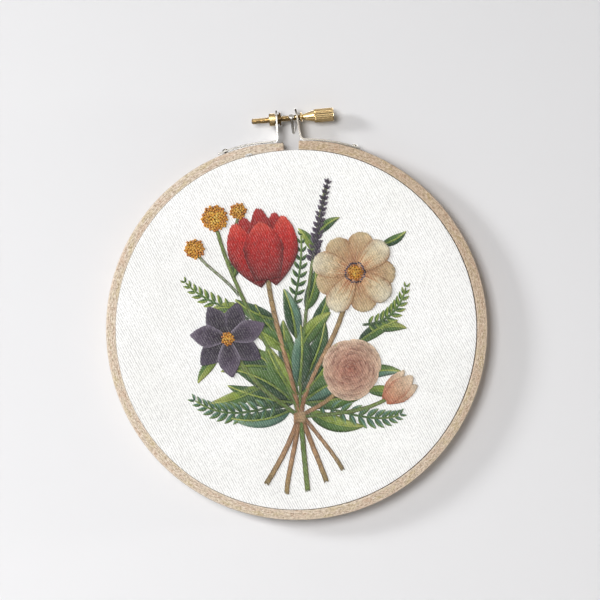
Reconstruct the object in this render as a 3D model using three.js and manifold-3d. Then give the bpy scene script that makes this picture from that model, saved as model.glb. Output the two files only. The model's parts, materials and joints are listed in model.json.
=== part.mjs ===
// Embroidered cloth in a round wooden screw hoop, hung by its screw on a small slanted nail.
// Millimetres, +Z up. The hoop faces -Y and its back lies in the plane y = 0, with +X to the
// viewer's right. The origin is the foot of the nail, in that plane.
import * as THREE from "three";
import { mergeVertices } from "three/addons/utils/BufferGeometryUtils.js";
import Module from "manifold-3d";

const wasm = await Module();
wasm.setup();

const degrees = Math.PI / 180;
const gap = 0.3; // between two pieces that touch
const overlap = 1; // how far joined shapes run into each other, and cutters past what they cut

// Driving dimensions of the hoop. Depths are measured from the back plane towards the viewer.
const outerRing = {
  innerR: 76.2, outerR: 80.75, depth: 9.5, edgeR: 0.8, gapFrom: -3.9, gapTo: 0.8,
};
const clothSheet = { thickness: 1.0, front: 9.2, back: 0.5, bendR: 1.5 };
const innerRing = { width: 4.5, edgeR: 0.9 };

// Steel strips bent into ears, one on each side of the split. Lean turns an ear about the
// hoop's centre.
const lug = { thickness: 0.7, width: 7.6, footLength: 24, bendR: 2.2, earAboveScrew: 3.9 };
const lugSides = [
  { name: "left", side: -1, lean: 2, earX: 8.0 },
  { name: "right", side: 1, lean: 11, earX: 0.79 },
];
// A dome lists shares of a head's radius and height, from its underside up.
const rivet = {
  shankR: 0.7, headR: 1.3, headHeight: 0.6, shankLength: 3.4, fromFootEnd: 3.0,
  dome: [[1, 0], [0.94, 0.45], [0.6, 0.88], [0, 1]],
};

// The screw's axis rises to the right and crosses the left ear at this height over the hoop's
// centre.
const screwAxis = { tilt: 5.27, height: 89.2, shankR: 1.25 };
// Stations along the screw's axis, measured from the left ear.
const screw = {
  tip: -10.9, tipChamfer: 0.4,
  collarFrom: 9.7, collarTo: 10.6, collarR: 1.9,
  neckR: 1.15, neckTo: 10.9,
  coneR: 1.25, coneTo: 15.5, coneEndR: 2.35,
  headFrom: 15.7, headTo: 24.0, headR: 2.85,
  ridges: 18, ridgeDepth: 0.24, headChamfer: 0.25,
};
const nut = {
  acrossFlats: 4.8, bodyFrom: -3.5, bodyTo: -0.82, neckR: 2.25, flangeR: 2.95, flangeTo: 1.6,
};

// The nail slants up to its head and a little to the left, and passes under the screw between the
// ears. Its foot is this far right of the hoop's centre, and its head this far from the back.
const nail = {
  footX: -0.6, slope: 36, swing: 5.5, shaftR: 0.6, headR: 1.2, headThickness: 0.7, reach: 9.05,
  dome: [[0.85, 0], [1, 0.3], [0.92, 0.65], [0.6, 0.92], [0, 1]],
};

const ringSteps = 108;
const roundSteps = 24;
const rivetSteps = 16;
const nailSteps = 20;
const ringMiddle = outerRing.depth / 2;

// A closed solid for joining and cutting, from any closed geometry.
function solidOf(geometry) {
  const bare = geometry.index ? geometry.toNonIndexed() : geometry.clone();
  bare.deleteAttribute("normal");
  bare.deleteAttribute("uv");
  const merged = mergeVertices(bare, 1e-4);
  return new wasm.Manifold(
    new wasm.Mesh({
      numProp: 3,
      vertProperties: new Float32Array(merged.attributes.position.array),
      triVerts: new Uint32Array(merged.index.array),
    }),
  );
}

function geometryOf(solid) {
  const { vertProperties, triVerts } = solid.getMesh();
  const geometry = new THREE.BufferGeometry();
  geometry.setAttribute("position", new THREE.BufferAttribute(vertProperties, 3));
  geometry.setIndex(new THREE.BufferAttribute(triVerts, 1));
  geometry.computeVertexNormals();
  return geometry;
}

// A point of the hoop's face, at an angle from straight up, positive to the right.
function onCircle(radius, angle) {
  return new THREE.Vector2(radius * Math.sin(angle), radius * Math.cos(angle));
}

// A flat outline in X and Z pushed out from one depth to another, towards the viewer.
function plateGeometry(shape, fromDepth, toDepth, bevel = 0) {
  const geometry = new THREE.ExtrudeGeometry(shape, {
    depth: toDepth - fromDepth - 2 * bevel,
    bevelEnabled: bevel > 0,
    bevelSize: bevel,
    bevelThickness: bevel,
    bevelOffset: -bevel,
    bevelSegments: 2,
    curveSegments: roundSteps,
    steps: 1,
  });
  return geometry.translate(0, 0, fromDepth + bevel).rotateX(90 * degrees);
}

// A profile of (radius, depth) points turned about the hoop's axis.
function turnedGeometry(profile, steps) {
  const points = profile.map(([radius, depth]) => new THREE.Vector2(radius, -depth));
  return new THREE.LatheGeometry(points, steps);
}

// A profile of (radius, station) points turned about the X axis, with stations along +X.
function shaftGeometry(profile, steps = roundSteps) {
  const points = profile.map(([radius, station]) => new THREE.Vector2(radius, station));
  return new THREE.LatheGeometry(points, steps).rotateZ(-90 * degrees);
}

// A head's profile: its dome's shares turned into (radius, station) points.
function domePoints({ dome, headR }, seat, height) {
  return dome.map(([wide, high]) => [headR * wide, seat + height * high]);
}

// A quarter round of (radius, depth) points from one angle to another about a centre.
function cornerPoints(centre, radius, fromAngle, toAngle, steps = 2) {
  return Array.from({ length: steps + 1 }, (_, i) => {
    const angle = (fromAngle + ((toAngle - fromAngle) * i) / steps) * degrees;
    return [centre[0] + radius * Math.cos(angle), centre[1] + radius * Math.sin(angle)];
  });
}

// The frame of the screw, nut and their holes: +X along the screw, zero at the left ear.
function screwFrame() {
  const frame = new THREE.Group();
  frame.position.set(-lugSides[0].earX, -ringMiddle, screwAxis.height);
  frame.rotation.y = -screwAxis.tilt * degrees;
  frame.updateMatrixWorld(true);
  return frame;
}

// Height of the screw's axis over the hoop's centre, at a distance right of the centre.
function screwHeight(x) {
  return screwAxis.height + (x + lugSides[0].earX) * Math.tan(screwAxis.tilt * degrees);
}

// The outer ring is a C of wood with round edges, and a hole under each rivet.
function outerRingGeometry(rivetHoles) {
  const from = outerRing.gapTo * degrees;
  const sweep = 2 * Math.PI - (outerRing.gapTo - outerRing.gapFrom) * degrees;
  const along = Array.from({ length: ringSteps + 1 }, (_, i) => from + (sweep * i) / ringSteps);
  const outline = [
    ...along.map((angle) => onCircle(outerRing.outerR, angle)),
    ...along.reverse().map((angle) => onCircle(outerRing.innerR, angle)),
  ];
  const ring = solidOf(
    plateGeometry(new THREE.Shape(outline), 0, outerRing.depth, outerRing.edgeR),
  );
  return geometryOf(rivetHoles.reduce((wood, hole) => wood.subtract(hole), ring));
}

// The cloth is stretched flat over the inner ring, and its rim runs back between the two rings.
const clothOuterR = outerRing.innerR - gap;
const clothInnerR = clothOuterR - clothSheet.thickness;
function clothGeometry() {
  const { thickness, front, back, bendR } = clothSheet;
  const bendCentre = [clothOuterR - bendR, front - bendR];
  return turnedGeometry(
    [
      [0, front],
      ...cornerPoints(bendCentre, bendR, 90, 0, 3),
      [clothOuterR, back],
      [clothInnerR, back],
      ...cornerPoints(bendCentre, bendR - thickness, 0, 90, 3),
      [0, front - thickness],
    ],
    ringSteps,
  );
}

// The inner ring fills the cloth's rim up to the cloth's back.
const innerRingFront = clothSheet.front - clothSheet.thickness - gap;
function innerRingGeometry() {
  const outerR = clothInnerR - gap;
  const innerR = outerR - innerRing.width;
  const edgeR = innerRing.edgeR;
  const profile = [
    ...cornerPoints([outerR - edgeR, innerRingFront - edgeR], edgeR, 90, 0),
    ...cornerPoints([outerR - edgeR, edgeR], edgeR, 0, -90),
    ...cornerPoints([innerR + edgeR, edgeR], edgeR, -90, -180),
    ...cornerPoints([innerR + edgeR, innerRingFront - edgeR], edgeR, 180, 90),
  ];
  return turnedGeometry([...profile, profile[0]], ringSteps);
}

// Where an ear's bend meets the foot, in the lug's own frame with its ear upright.
const footR = outerRing.outerR + gap + lug.thickness / 2;
function lugLayout({ side, lean, earX }) {
  const turn = lean * degrees;
  const height = screwHeight(side * earX);
  // The ear's distance right of the centre once the lug is turned upright.
  const uprightX = side * earX * Math.cos(turn) + height * Math.sin(turn);
  const holeHeight = height * Math.cos(turn) - side * earX * Math.sin(turn);
  const bendX = uprightX + side * lug.bendR;
  const bendZ = Math.sqrt((footR + lug.bendR) ** 2 - bendX ** 2);
  const footFrom = Math.asin(bendX / (footR + lug.bendR));
  const footTo = footFrom + (side * lug.footLength) / footR;
  return { turn, uprightX, holeHeight, bendX, bendZ, footFrom, footTo };
}

// The strip's middle line from the ear's top down round the bend and out along the foot.
function lugLine({ side }, { uprightX, holeHeight, bendX, bendZ, footFrom, footTo }) {
  const bendSteps = 6;
  const footSteps = 12;
  const bendFrom = side > 0 ? Math.PI : 0;
  const bendTo = -Math.PI / 2 - footFrom + (side > 0 ? 2 * Math.PI : 0);
  const line = [new THREE.Vector2(uprightX, holeHeight + lug.earAboveScrew + overlap)];
  for (let i = 0; i <= bendSteps; i++) {
    const angle = bendFrom + ((bendTo - bendFrom) * i) / bendSteps;
    line.push(
      new THREE.Vector2(bendX + lug.bendR * Math.cos(angle), bendZ + lug.bendR * Math.sin(angle)),
    );
  }
  for (let i = 1; i <= footSteps; i++) {
    line.push(onCircle(footR, footFrom + ((footTo - footFrom) * i) / footSteps));
  }
  return line;
}

// A middle line given its thickness, half to each side.
function stripShape(line, thickness) {
  const offset = (sign) =>
    line.map((point, i) => {
      const before = line[Math.max(i - 1, 0)];
      const after = line[Math.min(i + 1, line.length - 1)];
      const along = after.clone().sub(before).normalize();
      const across = new THREE.Vector2(-along.y, along.x);
      return point.clone().addScaledVector(across, (sign * thickness) / 2);
    });
  return new THREE.Shape([...offset(1), ...offset(-1).reverse()]);
}

// The ear's rounded top and the strip's width, seen along X.
function lugOutlineSolid(holeHeight) {
  const half = lug.width / 2;
  const reach = outerRing.outerR;
  const shape = new THREE.Shape();
  shape.moveTo(-half, 0);
  shape.lineTo(half, 0);
  shape.lineTo(half, holeHeight);
  shape.absarc(0, holeHeight, lug.earAboveScrew, Math.acos(half / lug.earAboveScrew),
    Math.PI - Math.acos(half / lug.earAboveScrew), false);
  shape.lineTo(-half, 0);
  const geometry = new THREE.ExtrudeGeometry(shape, {
    depth: 2 * reach,
    bevelEnabled: false,
    curveSegments: roundSteps,
  });
  geometry.translate(0, 0, -reach).rotateX(90 * degrees).rotateZ(90 * degrees);
  return solidOf(geometry.translate(0, -ringMiddle, 0));
}

// The frame of a rivet: +X outwards through the foot near its end, zero at the hoop's axis.
function rivetPlace(spec) {
  const { turn, footTo } = lugLayout(spec);
  const angle = footTo - (spec.side * rivet.fromFootEnd) / footR - turn;
  const place = new THREE.Group();
  place.position.set(0, -ringMiddle, 0);
  place.rotation.y = angle - 90 * degrees;
  place.updateMatrixWorld(true);
  return place;
}

// The hole that a rivet's shank needs, from inside the wood out through the foot.
function rivetHole(spec) {
  const wide = rivet.shankR + gap;
  const bottom = outerRing.outerR - rivet.shankLength - gap;
  const top = footR + lug.thickness;
  const hole = shaftGeometry([[0, bottom], [wide, bottom], [wide, top], [0, top]], rivetSteps);
  return solidOf(hole.applyMatrix4(rivetPlace(spec).matrixWorld));
}

function rivetGeometry() {
  const { shankR, headHeight, shankLength } = rivet;
  const seat = footR + lug.thickness / 2 + gap;
  return shaftGeometry([
    [0, outerRing.outerR - shankLength],
    [shankR, outerRing.outerR - shankLength],
    [shankR, seat],
    ...domePoints(rivet, seat, headHeight),
  ], rivetSteps);
}

// A bent strip, cut to its rounded outline, with the screw's hole and the rivet's hole.
function lugGeometry(spec, holeR) {
  const layout = lugLayout(spec);
  const strip = solidOf(
    plateGeometry(
      stripShape(lugLine(spec, layout), lug.thickness),
      ringMiddle - lug.width,
      ringMiddle + lug.width,
    ),
  );
  const upright = strip.intersect(lugOutlineSolid(layout.holeHeight));
  const leaned = solidOf(geometryOf(upright).rotateY(-layout.turn));
  const station = (spec.side * spec.earX + lugSides[0].earX) / Math.cos(screwAxis.tilt * degrees);
  const hole = shaftGeometry([
    [0, station - lug.bendR],
    [holeR, station - lug.bendR],
    [holeR, station + lug.bendR],
    [0, station + lug.bendR],
  ]);
  return geometryOf(
    leaned
      .subtract(solidOf(hole.applyMatrix4(screwFrame().matrixWorld)))
      .subtract(rivetHole(spec)),
  );
}

// The thumb screw is a plain shank, a collar, a cone and a head with straight ridges.
function thumbScrewGeometry() {
  const s = screw;
  const r = screwAxis.shankR;
  const insideHead = s.headFrom + overlap;
  const body = solidOf(
    shaftGeometry([
      [0, s.tip],
      [r - s.tipChamfer, s.tip],
      [r, s.tip + s.tipChamfer],
      [r, s.collarFrom],
      [s.collarR, s.collarFrom],
      [s.collarR, s.collarTo],
      [s.neckR, s.collarTo],
      [s.neckR, s.neckTo],
      [s.coneR, s.neckTo],
      [s.coneEndR, s.coneTo],
      [s.coneEndR, insideHead],
      [0, insideHead],
    ]),
  );
  const outline = Array.from({ length: 4 * s.ridges }, (_, i) => {
    const radius = i % 4 < 2 ? s.headR : s.headR - s.ridgeDepth;
    const angle = (2 * Math.PI * i) / (4 * s.ridges);
    return new THREE.Vector2(radius * Math.cos(angle), radius * Math.sin(angle));
  });
  const ridged = new THREE.ExtrudeGeometry(new THREE.Shape(outline), {
    depth: s.headTo - s.headFrom,
    bevelEnabled: false,
  });
  ridged.translate(0, 0, s.headFrom).rotateY(90 * degrees);
  const blank = shaftGeometry([
    [0, s.headFrom],
    [s.headR - s.headChamfer, s.headFrom],
    [s.headR, s.headFrom + s.headChamfer],
    [s.headR, s.headTo - s.headChamfer],
    [s.headR - s.headChamfer, s.headTo],
    [0, s.headTo],
  ], 4 * s.ridges);
  return geometryOf(body.add(solidOf(ridged).intersect(solidOf(blank))));
}

// A hexagon nut, one flat towards the viewer, whose neck goes through the ear to a flange.
function nutGeometry() {
  const cornerR = nut.acrossFlats / 2 / Math.cos(30 * degrees);
  const corners = Array.from({ length: 6 }, (_, i) =>
    new THREE.Vector2(cornerR * Math.cos(i * 60 * degrees), cornerR * Math.sin(i * 60 * degrees)),
  );
  const hexagon = new THREE.ExtrudeGeometry(new THREE.Shape(corners), {
    depth: nut.bodyTo - nut.bodyFrom,
    bevelEnabled: false,
  });
  hexagon.translate(0, 0, nut.bodyFrom).rotateY(90 * degrees);
  const flangeFrom = -nut.bodyTo;
  const neckFrom = nut.bodyTo - overlap;
  const sleeve = shaftGeometry([
    [0, neckFrom],
    [nut.neckR, neckFrom],
    [nut.neckR, flangeFrom],
    [nut.flangeR, flangeFrom],
    [nut.flangeR, nut.flangeTo],
    [0, nut.flangeTo],
  ]);
  const boreR = screwAxis.shankR + gap;
  const bore = shaftGeometry([
    [0, nut.bodyFrom - overlap],
    [boreR, nut.bodyFrom - overlap],
    [boreR, nut.flangeTo + overlap],
    [0, nut.flangeTo + overlap],
  ]);
  return geometryOf(solidOf(hexagon).add(solidOf(sleeve)).subtract(solidOf(bore)));
}

// Height of the nail's foot over the hoop's centre: its shaft passes just under the screw.
const nailSlope = nail.slope * degrees;
const nailSwing = nail.swing * degrees;
const nailUnderScrew = (screwAxis.shankR + gap + nail.shaftR) / Math.cos(nailSlope);
const nailAtScrewX = nail.footX - ringMiddle * Math.tan(nailSwing);
const nailFootHeight =
  screwHeight(nailAtScrewX) - nailUnderScrew - ringMiddle * Math.tan(nailSlope);

// The nail is made along X, then aimed at the viewer, up and left, and cut off at the back plane.
function nailGeometry() {
  const length = nail.reach / Math.cos(nailSlope);
  const neck = length - nail.headThickness;
  const start = -2 * nail.shaftR;
  const body = shaftGeometry([
    [0, start],
    [nail.shaftR, start],
    [nail.shaftR, neck],
    ...domePoints(nail, neck, nail.headThickness),
  ], nailSteps);
  body.rotateY(-nailSlope).rotateZ(-90 * degrees - nailSwing);
  const reach = 2 * nail.reach;
  const front = new THREE.BoxGeometry(reach, reach, reach).translate(0, -reach / 2, 0);
  return geometryOf(solidOf(body).intersect(solidOf(front)));
}

const finishes = {
  wood: new THREE.MeshStandardMaterial({ color: 0xd9c3a3, roughness: 0.7, metalness: 0 }),
  canvas: new THREE.MeshStandardMaterial({ color: 0xf5f4f2, roughness: 0.95, metalness: 0 }),
  steel: new THREE.MeshStandardMaterial({ color: 0xcfd0d2, roughness: 0.3, metalness: 1 }),
  brass: new THREE.MeshStandardMaterial({ color: 0xc9a558, roughness: 0.3, metalness: 1 }),
};

function namedMesh(name, geometry, material) {
  const mesh = new THREE.Mesh(geometry, material);
  mesh.name = name;
  return mesh;
}

function buildHoop() {
  const hoop = new THREE.Group();
  hoop.add(
    namedMesh("outer_ring", outerRingGeometry(lugSides.map(rivetHole)), finishes.wood),
    namedMesh("inner_ring", innerRingGeometry(), finishes.wood),
    namedMesh("cloth", clothGeometry(), finishes.canvas),
  );
  for (const spec of lugSides) {
    const holeR = spec.side < 0 ? nut.neckR + gap : screwAxis.shankR + gap;
    hoop.add(namedMesh("lug_" + spec.name, lugGeometry(spec, holeR), finishes.steel));
    const head = namedMesh("rivet_" + spec.name, rivetGeometry(), finishes.steel);
    const place = rivetPlace(spec);
    place.add(head);
    hoop.add(place);
  }
  const axis = screwFrame();
  axis.add(
    namedMesh("nut", nutGeometry(), finishes.brass),
    namedMesh("thumb_screw", thumbScrewGeometry(), finishes.brass),
  );
  hoop.add(axis);
  hoop.position.set(-nail.footX, 0, -nailFootHeight);
  return hoop;
}

const hoopArt = new THREE.Group();
hoopArt.add(buildHoop(), namedMesh("wall_nail", nailGeometry(), finishes.steel));

export default hoopArt;
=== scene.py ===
# Stitched cloth in a wooden screw hoop, hung by its screw on a small nail.
# Sizes are in millimetres. A point is (right, up, out): right and up are from the hoop's centre,
# out is from the wall towards the viewer. Colours are ordinary 0 to 255 screen colours.
import json
import math

import bmesh
import bpy
import numpy as np
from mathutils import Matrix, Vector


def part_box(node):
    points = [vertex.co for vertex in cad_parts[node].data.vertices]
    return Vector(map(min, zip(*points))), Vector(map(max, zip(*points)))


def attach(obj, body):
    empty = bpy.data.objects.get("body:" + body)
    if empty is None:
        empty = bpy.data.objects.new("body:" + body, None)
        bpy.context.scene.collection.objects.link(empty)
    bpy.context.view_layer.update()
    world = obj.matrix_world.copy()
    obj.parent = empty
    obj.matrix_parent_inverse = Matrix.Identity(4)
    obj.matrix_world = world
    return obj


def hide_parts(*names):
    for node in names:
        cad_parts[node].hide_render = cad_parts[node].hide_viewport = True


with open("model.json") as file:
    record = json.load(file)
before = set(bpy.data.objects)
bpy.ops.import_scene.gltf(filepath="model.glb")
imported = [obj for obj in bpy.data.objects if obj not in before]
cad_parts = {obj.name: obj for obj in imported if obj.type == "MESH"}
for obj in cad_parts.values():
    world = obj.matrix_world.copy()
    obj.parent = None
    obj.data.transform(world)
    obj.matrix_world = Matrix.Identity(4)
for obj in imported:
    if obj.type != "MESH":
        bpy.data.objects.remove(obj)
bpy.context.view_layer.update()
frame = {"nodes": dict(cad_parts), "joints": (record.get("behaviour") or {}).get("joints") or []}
print("frame loaded:", len(frame["nodes"]), "nodes")

mm = 0.001
turn = 2 * math.pi


def roundNode(node):
    # a round node's lowest and highest corner and its radius
    low, high = [np.array(corner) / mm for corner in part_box(node)]
    return low, high, (high[0] - low[0]) / 2


ringLow, ringHigh, outerRadius = roundNode("outer_ring")
ringDepth = ringHigh[1] - ringLow[1]
hoopCentre = np.array([(ringLow[0] + ringHigh[0]) / 2, 0, ringLow[2] + outerRadius])
clothLow, clothHigh, clothRadius = roundNode("cloth")
clothFront, clothBackEdge = -clothLow[1], -clothHigh[1]


# The hoop is drawn in a little at its split, and the ring's left end is shaved thin.
dip = {"deep": 0.6, "at": -7, "spread": 17, "leftEnd": 0.9, "leftSpread": 7, "rightEnd": 0.3}


def dipAt(angle):
    # how far the hoop is drawn in at an angle from straight up: one smooth hump
    away = (np.degrees(angle) - dip["at"] + 180) % 360 - 180
    return dip["deep"] * np.exp(-(away / dip["spread"]) ** 2)


def shavedAt(angle):
    # what the outside loses on top of that towards each of the two ends
    away = (np.degrees(angle) + 180) % 360 - 180
    left = dip["leftEnd"] * np.exp(-((away + 4) / dip["leftSpread"]) ** 2) * (away < 0)
    return left + dip["rightEnd"] * np.exp(-(away / dip["leftSpread"]) ** 2) * (away > 0)


def place(points):
    # (right, up, out) to the frame's X, Y and Z, still in millimetres
    points = np.asarray(points, float)
    return hoopCentre + np.stack([points[..., 0], -points[..., 2], points[..., 1]], -1)


def gridFaces(rows, columns, closedRows=False, first=0, caps=False):
    # each face joins a point of the grid with its neighbours in the next row and column; caps close
    # the first and the last row
    index = first + np.arange(rows * columns).reshape(rows, columns)
    ends = [index[0].tolist(), index[-1].tolist()] if caps else []
    down = np.roll(index, -1, 0)
    if not closedRows:
        index, down = index[:-1], down[:-1]
    quads = np.stack([index, down, np.roll(down, -1, 1), np.roll(index, -1, 1)], -1)
    return quads.reshape(-1, 4).tolist() + ends


def addObject(name, data):
    made = bpy.data.objects.new(name, data)
    bpy.context.scene.collection.objects.link(made)
    return made


def finishMesh(mesh, material, sharp=None):
    # smooth shading, with edges of more than so many degrees left sharp
    mesh.polygons.foreach_set("use_smooth", np.ones(len(mesh.polygons), bool))
    if sharp:
        mesh.set_sharp_from_angle(angle=math.radians(sharp))
    mesh.materials.clear()
    mesh.materials.append(material)


def addPiece(name, points, faces, material, body="hoop", sharp=None, outward=True):
    # points are in the frame's axes in millimetres; faces can have any number of corners
    mesh = bpy.data.meshes.new(name)
    mesh.from_pydata((np.asarray(points).reshape(-1, 3) * mm).tolist(), [], faces)
    if outward:
        work = bmesh.new()
        work.from_mesh(mesh)
        bmesh.ops.recalc_face_normals(work, faces=work.faces)
        work.to_mesh(mesh)
        work.free()
    finishMesh(mesh, material, sharp)
    piece = addObject(name, mesh)
    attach(piece, body)
    return piece


def addAttribute(piece, name, kind, values):
    # one value for each point, such as a colour or the point's place along a ring
    made = piece.data.attributes.new(name, kind, "POINT")
    field = {"FLOAT_COLOR": "color", "FLOAT_VECTOR": "vector", "FLOAT": "value"}[kind]
    made.data.foreach_set(field, np.asarray(values, float).ravel())


def linear(colour):
    # a screen colour turned into the linear light that shaders work in
    share = np.asarray(colour, float) / 255
    return np.where(share <= 0.04045, share / 12.92, ((share + 0.055) / 1.055) ** 2.4)


def rgba(colour):
    return tuple(linear(colour).tolist()) + (1.0,)


# Node helpers

def newMaterial(name, roughness, metallic=0.0):
    material = bpy.data.materials.new(name)
    material.use_nodes = True
    shader = material.node_tree.nodes["Principled BSDF"]
    connect(shader, {"Roughness": roughness, "Metallic": metallic})
    return material, material.node_tree, shader


def connect(node, inputs):
    # a socket is linked to the node's input, and a plain value is set on it
    for key, value in inputs.items():
        if isinstance(value, bpy.types.NodeSocket):
            node.id_data.links.new(value, node.inputs[key])
        else:
            node.inputs[key].default_value = value


def addNode(tree, kind, inputs=None, **settings):
    made = tree.nodes.new("ShaderNode" + kind)
    for key, value in settings.items():
        setattr(made, key, value)
    connect(made, inputs or {})
    return made


def objectPlace(tree):
    return addNode(tree, "TexCoord").outputs["Object"]


def attribute(tree, name, output="Fac"):
    return addNode(tree, "Attribute", attribute_name=name).outputs[output]


# The helpers from here on work in the node tree of the socket that they are given.

def calc(operation, first, second=0.0, third=0.0):
    inputs = {0: first, 1: second, 2: third}
    return addNode(first.id_data, "Math", inputs, operation=operation).outputs[0]


def times(first, second):
    return calc("MULTIPLY", first, second)


def axes(vector):
    return addNode(vector.id_data, "SeparateXYZ", {0: vector}).outputs


def noise(vector, scale, detail=3.0, roughness=0.55):
    inputs = {"Vector": vector, "Scale": scale, "Detail": detail, "Roughness": roughness}
    return addNode(vector.id_data, "TexNoise", inputs).outputs["Fac"]


def stretched(vector, scale):
    return addNode(vector.id_data, "Mapping", {"Vector": vector, "Scale": scale}).outputs[0]


def ramp(factor, stops):
    made = addNode(factor.id_data, "ValToRGB", {"Fac": factor})
    points = made.color_ramp.elements
    while len(points) < len(stops):
        points.new(1.0)
    for point, (position, colour) in zip(points, stops):
        point.position = position
        point.color = rgba(colour)
    return made.outputs["Color"]


def grey(factor, low, high):
    # the factor's range from low to high spread out to 0 and 1
    inputs = {"Value": factor, "From Min": low, "From Max": high}
    return addNode(factor.id_data, "MapRange", inputs).outputs[0]


def blended(factor, first, second, kind="MIX"):
    inputs = {0: factor, 6: first, 7: second}
    made = addNode(first.id_data, "Mix", inputs, data_type="RGBA", blend_type=kind)
    return made.outputs[2]


def tinted(colour, tint):
    return blended(1.0, colour, tint, "MULTIPLY")


def bump(height, distance):
    inputs = {"Height": height, "Distance": distance * mm, "Strength": 1.0}
    return addNode(height.id_data, "Bump", inputs).outputs[0]


# Camera and light

view = {
    "width": 254.0,  # what the picture takes in, at the cloth
    "right": 1.65, "up": 12.4,  # the picture's centre from the hoop's
    "lens": 150.0, "sensor": 36.0,
}
lights = {
    "skylight": {"at": (-454, 262, 1298), "size": 580, "watts": 13.95, "colour": (255, 254, 253)},
    "sideWindow": {"at": (-1460, 531, 692), "size": 310, "watts": 17.35, "colour": (253, 254, 255)},
    "behind": {"at": (300, 350, -900), "size": 900, "watts": 9.0, "colour": (255, 255, 255)},
    "alongWall": {"at": (1500, 60, 90), "size": 150, "watts": 8.5, "colour": (255, 252, 247)},
}
surroundings = {
    "soft": [(0.0, (240, 243, 248)), (0.45, (214, 214, 214)), (0.62, (84, 64, 50)),
             (1.0, (56, 40, 30))],  # from the left to the right
    "room": [(0.0, (44, 32, 22)), (0.41, (60, 45, 32)), (0.5, (176, 170, 162)),
             (0.58, (246, 245, 242)), (0.94, (252, 250, 246)), (1.0, (216, 212, 206))],  # going up
    "wallWards": (70, 54, 38), "wallShare": 0.75,
    "pale": (236, 236, 236), "softStrength": 0.19, "addedStrength": 0.76,
}


def addCamera():
    data = bpy.data.cameras.new("camera")
    data.lens, data.sensor_width = view["lens"], view["sensor"]
    camera = addObject("camera", data)
    distance = view["width"] * view["lens"] / view["sensor"]
    camera.location = place([view["right"], view["up"], clothFront + distance]) * mm
    camera.rotation_euler = (math.pi / 2, 0, 0)
    bpy.context.scene.camera = camera


def addLights():
    for name, light in lights.items():
        data = bpy.data.lights.new(name, "AREA")
        data.size = light["size"] * mm
        data.energy = light["watts"]
        data.color = linear(light["colour"]).tolist()
        lamp = addObject(name, data)
        lamp.location = place(light["at"]) * mm
        aim = place((0, 0, 0)) * mm - np.array(lamp.location)
        lamp.rotation_euler = Vector(aim).to_track_quat("-Z", "Y").to_euler()


def addSurroundings():
    # matt surfaces take the soft light, shiny ones mirror the room, and behind it all is pale
    world = bpy.data.worlds.new("studio")
    world.use_nodes = True
    tree = world.node_tree
    toward = axes(addNode(tree, "TexCoord").outputs["Generated"])
    soft = ramp(grey(toward["X"], -1, 1), surroundings["soft"])
    room = ramp(grey(toward["Z"], -1, 1), surroundings["room"])
    wallWards = times(grey(toward["Y"], 0.05, 0.55), surroundings["wallShare"])
    room = blended(wallWards, room, rgba(surroundings["wallWards"]))
    path = addNode(tree, "LightPath").outputs
    seen = blended(path["Is Glossy Ray"], soft, room)
    seen = blended(path["Is Camera Ray"], seen, rgba(surroundings["pale"]))
    shown = calc("MAXIMUM", path["Is Glossy Ray"], path["Is Camera Ray"])
    added, least = surroundings["addedStrength"], surroundings["softStrength"]
    connect(tree.nodes["Background"],
            {"Color": seen, "Strength": calc("MULTIPLY_ADD", shown, added, least)})
    bpy.context.scene.world = world
    bpy.context.scene.view_settings.view_transform = "Standard"


stage = {
    "wallColour": (235, 235, 237), "wallSize": 3000, "wallAt": -0.2,
    "floorColour": (225, 224, 222), "floorSize": 9000, "floorBelow": 1000,
    "floorGlow": 0.45, "glowColour": (250, 250, 249),
    # painted shade on the wall: darker towards the top, standing in for light that falls off there
    "wallShade": [(0.0, (255, 255, 255)), (1.0, (236, 236, 236))],
    "floorShade": [(0.0, (255, 255, 255)), (1.0, (250, 250, 250))],
    "shadeHeights": (-0.25, 0.1),
}


def addStage():
    # A flat square for the wall and one for the floor, far enough down to be out of the picture.
    # The wall shows from its front only, so that the hoop's back can be looked at. The floor glows a
    # little, as one that a studio lights by itself.
    half, reach = stage["wallSize"] / 2, stage["floorSize"] / 2
    down, near = -stage["floorBelow"], stage["wallAt"]
    corners = {
        "wall": [(-half, down, near), (half, down, near), (half, half, near), (-half, half, near)],
        "floor": [(-reach, down, reach), (reach, down, reach), (reach, down, -reach),
                  (-reach, down, -reach)],
    }
    for name, points in corners.items():
        material, tree, shader = newMaterial(name, 0.9)
        where = objectPlace(tree)
        colour = np.array(stage[name + "Colour"])
        paint = ramp(noise(where, 3.0), [(0.3, colour - 1), (0.7, colour + 1)])
        # painted shade: the surface is tinted darker towards the top
        height = grey(axes(where)["Z"], *stage["shadeHeights"])
        paint = tinted(paint, ramp(height, stage[name + "Shade"]))
        connect(shader, {"Base Color": paint})
        mesh = bpy.data.meshes.new(name)
        mesh.from_pydata((place(points) * mm).tolist(), [], [(0, 1, 2, 3)])
        mesh.materials.append(material)
        piece = addObject(name, mesh)
        if name == "wall":
            clear = addNode(tree, "BsdfTransparent")
            side = addNode(tree, "NewGeometry").outputs["Backfacing"]
            both = addNode(tree, "MixShader", {0: side, 1: shader.outputs[0], 2: clear.outputs[0]})
            connect(tree.nodes["Material Output"], {"Surface": both.outputs[0]})
            piece.visible_shadow = piece.visible_diffuse = piece.visible_glossy = False
        else:
            glow = times(addNode(tree, "LightPath").outputs["Is Camera Ray"], stage["floorGlow"])
            connect(shader, {"Emission Strength": glow, "Emission Color": rgba(stage["glowColour"])})


addCamera()
addLights()
addSurroundings()
addStage()
print("camera, lights and stage set")


# Cloth: a fine off-white twill

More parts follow.
